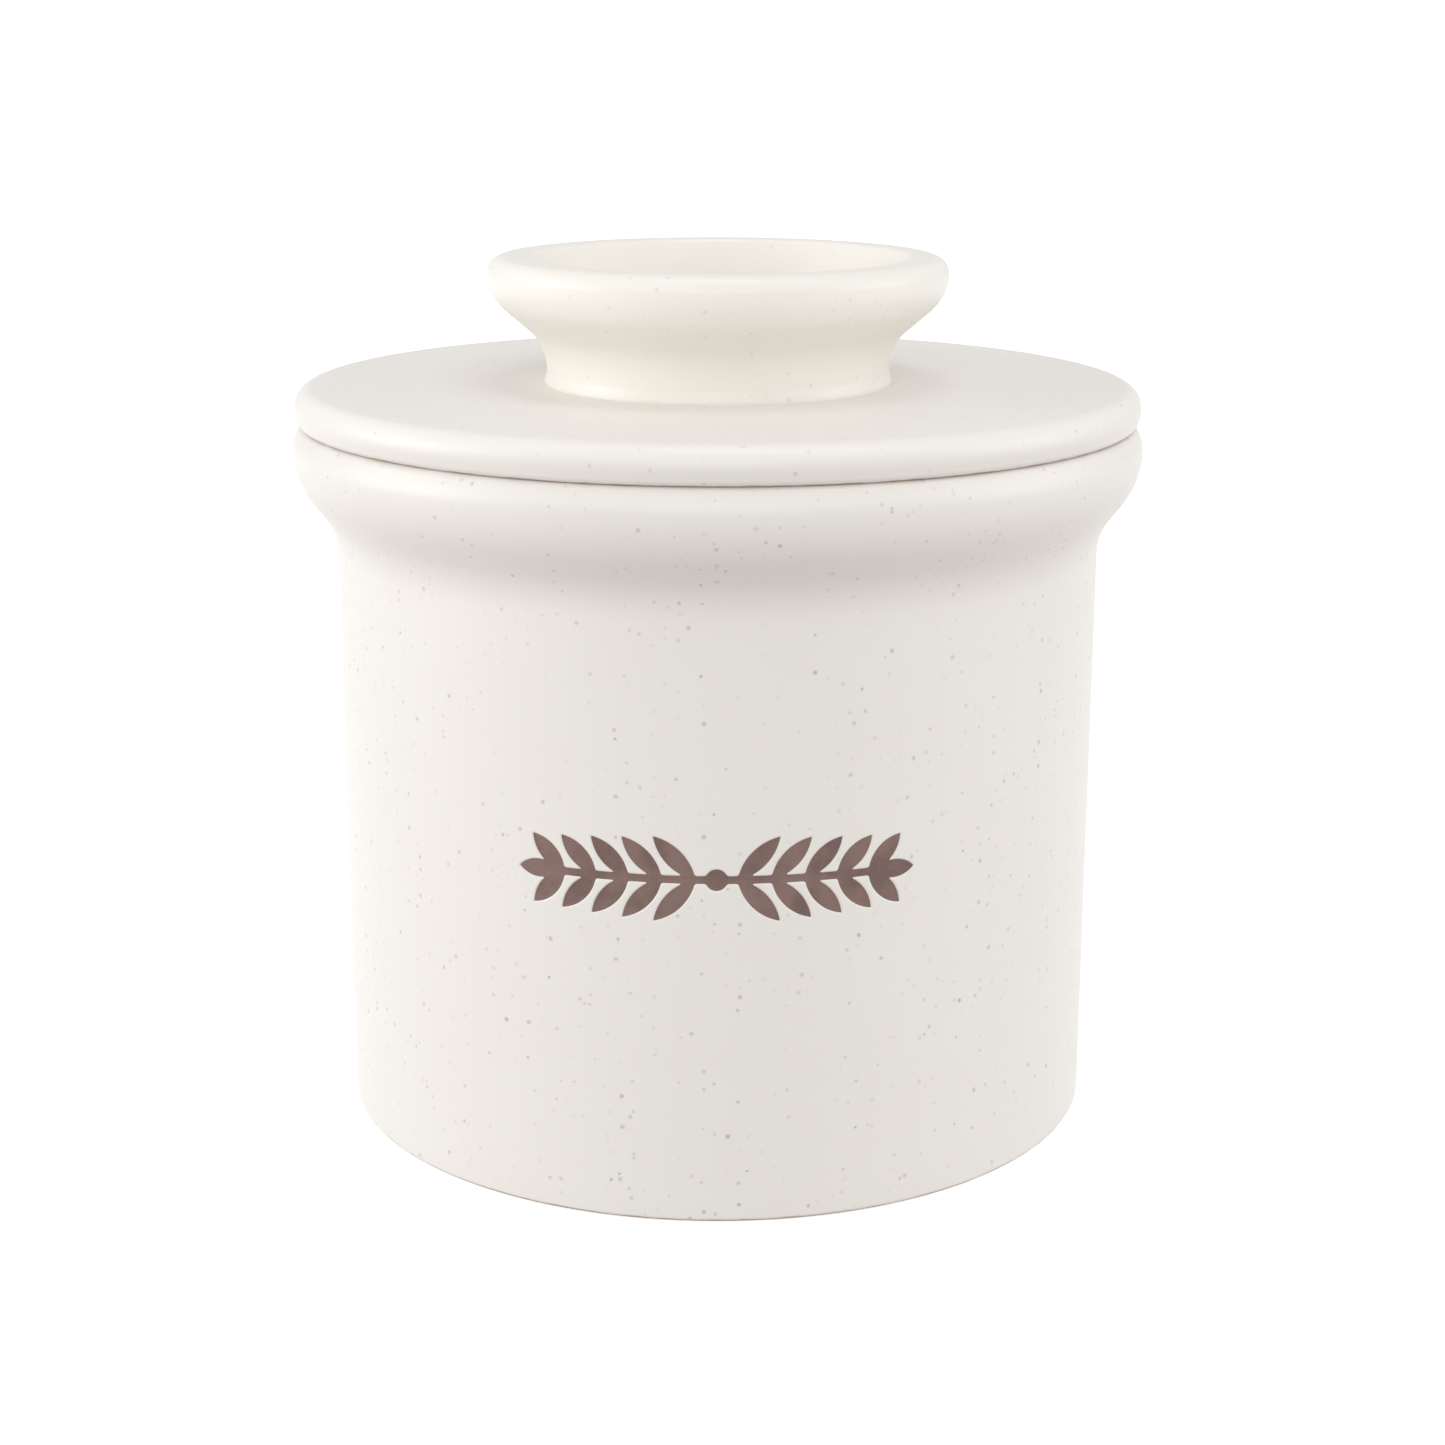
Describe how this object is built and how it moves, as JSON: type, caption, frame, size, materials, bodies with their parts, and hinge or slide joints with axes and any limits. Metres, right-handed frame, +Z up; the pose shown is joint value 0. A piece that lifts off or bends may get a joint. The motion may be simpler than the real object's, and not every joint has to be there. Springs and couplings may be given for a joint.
{
  "type": "butter crock",
  "caption": "Round stoneware butter crock with a flared rim, a flat lift-off lid with an open ring knob, and a hollow butter bell under the lid.",
  "frame": {"origin": "middle of the foot, on the surface that the crock stands on", "axes": "+Z up along the turning axis; -Y is the front, where the stamped sprig is; +X is to the right of someone who looks at the front"},
  "size_m": [0.1102, 0.1102, 0.112],
  "materials": {
    "speckled_glaze": "satin",
    "cream_glaze": "satin",
    "brown_glaze": "satin"
  },
  "bodies": {
    "crock": {"crock": "speckled_glaze", "sprig_inlay": "brown_glaze"},
    "lid": {"lid_plate": "speckled_glaze", "butter_bell": "speckled_glaze", "knob_ring": "cream_glaze"}
  },
  "joints": [
    {"name": "lid_lift", "type": "slide", "parent": "crock", "child": "lid", "axis": [0, 0, 1], "range_m": [0, 0.09]}
  ]
}
